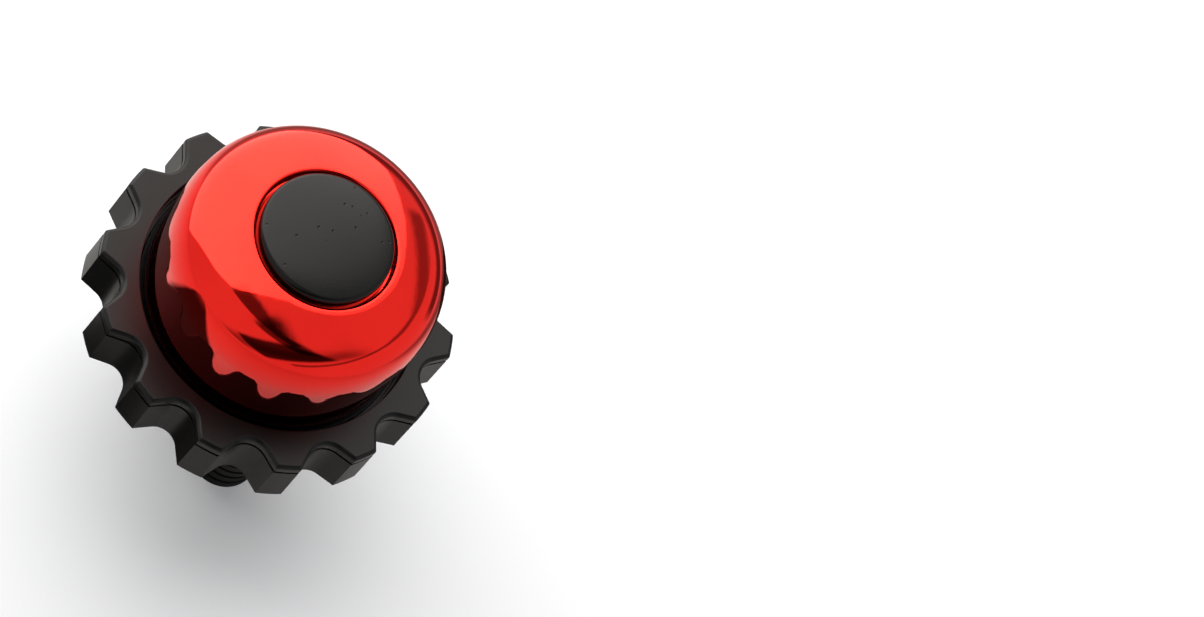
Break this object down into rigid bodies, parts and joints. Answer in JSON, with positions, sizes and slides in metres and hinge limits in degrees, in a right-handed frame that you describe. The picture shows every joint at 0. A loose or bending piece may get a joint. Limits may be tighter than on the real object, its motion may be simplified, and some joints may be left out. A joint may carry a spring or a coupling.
{
  "type": "bicycle bell",
  "caption": "Twist-ring bicycle bell: a toothed thumb ring turns round a fixed red metal dome with a black cap, on a screw clamp for a handlebar.",
  "frame": {"origin": "centre of the handlebar clamp's bore", "axes": "+X along the handlebar, +Z along the bell's axis from the bar to the cap, the clamp screw on the -Y side"},
  "size_m": [0.0554, 0.055, 0.0604],
  "materials": {
    "ring_plastic": "black moulded ABS, fine satin grain",
    "base_plastic": "black moulded glass-filled nylon, matte",
    "cap_plastic": "black moulded ABS, matte",
    "dome_red": "red lacquer over polished brass, glossy",
    "liner_rubber": "black rubber, matte",
    "zinc_steel": "zinc-plated steel",
    "black_steel": "blackened steel plate",
    "gear_acetal": "natural acetal",
    "pad_fibre": "vulcanised fibre"
  },
  "bodies": {
    "root": {"base_housing": "base_plastic", "clamp_strap": "base_plastic", "bar_liner": "liner_rubber", "clamp_screw": "zinc_steel", "clamp_nut": "zinc_steel", "centre_post": "zinc_steel", "thrust_washer": "gear_acetal", "idler_axle": "zinc_steel", "rotor_clip": "zinc_steel", "retainer_plate": "black_steel", "retainer_screws": "zinc_steel", "dome": "dome_red", "dome_pad": "pad_fibre", "dome_washer": "zinc_steel", "dome_nut": "zinc_steel", "cap": "cap_plastic"},
    "ring": {"ring_body": "ring_plastic", "ring_cover": "ring_plastic"},
    "idler": {"idler_gear": "gear_acetal"},
    "rotor": {"rotor_gear": "gear_acetal", "striker_arm": "zinc_steel", "striker_pins": "zinc_steel"},
    "striker_a_body": {"striker_a": "zinc_steel"},
    "striker_b_body": {"striker_b": "zinc_steel"}
  },
  "joints": [
    {"name": "ring_turn", "type": "hinge", "parent": "root", "child": "ring", "pos_m": [0, 0, 0.018], "axis": [0, 0, 1], "continuous": true},
    {"name": "idler_spin", "type": "hinge", "parent": "root", "child": "idler", "pos_m": [0.0128, 0, 0.0171], "axis": [0, 0, 1], "continuous": true},
    {"name": "rotor_spin", "type": "hinge", "parent": "root", "child": "rotor", "pos_m": [0, 0, 0.0171], "axis": [0, 0, 1], "continuous": true},
    {"name": "striker_a_play", "type": "slide", "parent": "rotor", "child": "striker_a_body", "axis": [0, 1, 0], "range_m": [-0.0005, 0.0005]},
    {"name": "striker_b_play", "type": "slide", "parent": "rotor", "child": "striker_b_body", "axis": [0, -1, 0], "range_m": [-0.0005, 0.0005]}
  ],
  "couplings": [
    {"joint": "idler_spin", "follows": "ring_turn", "ratio": 3},
    {"joint": "rotor_spin", "follows": "ring_turn", "ratio": -3}
  ]
}
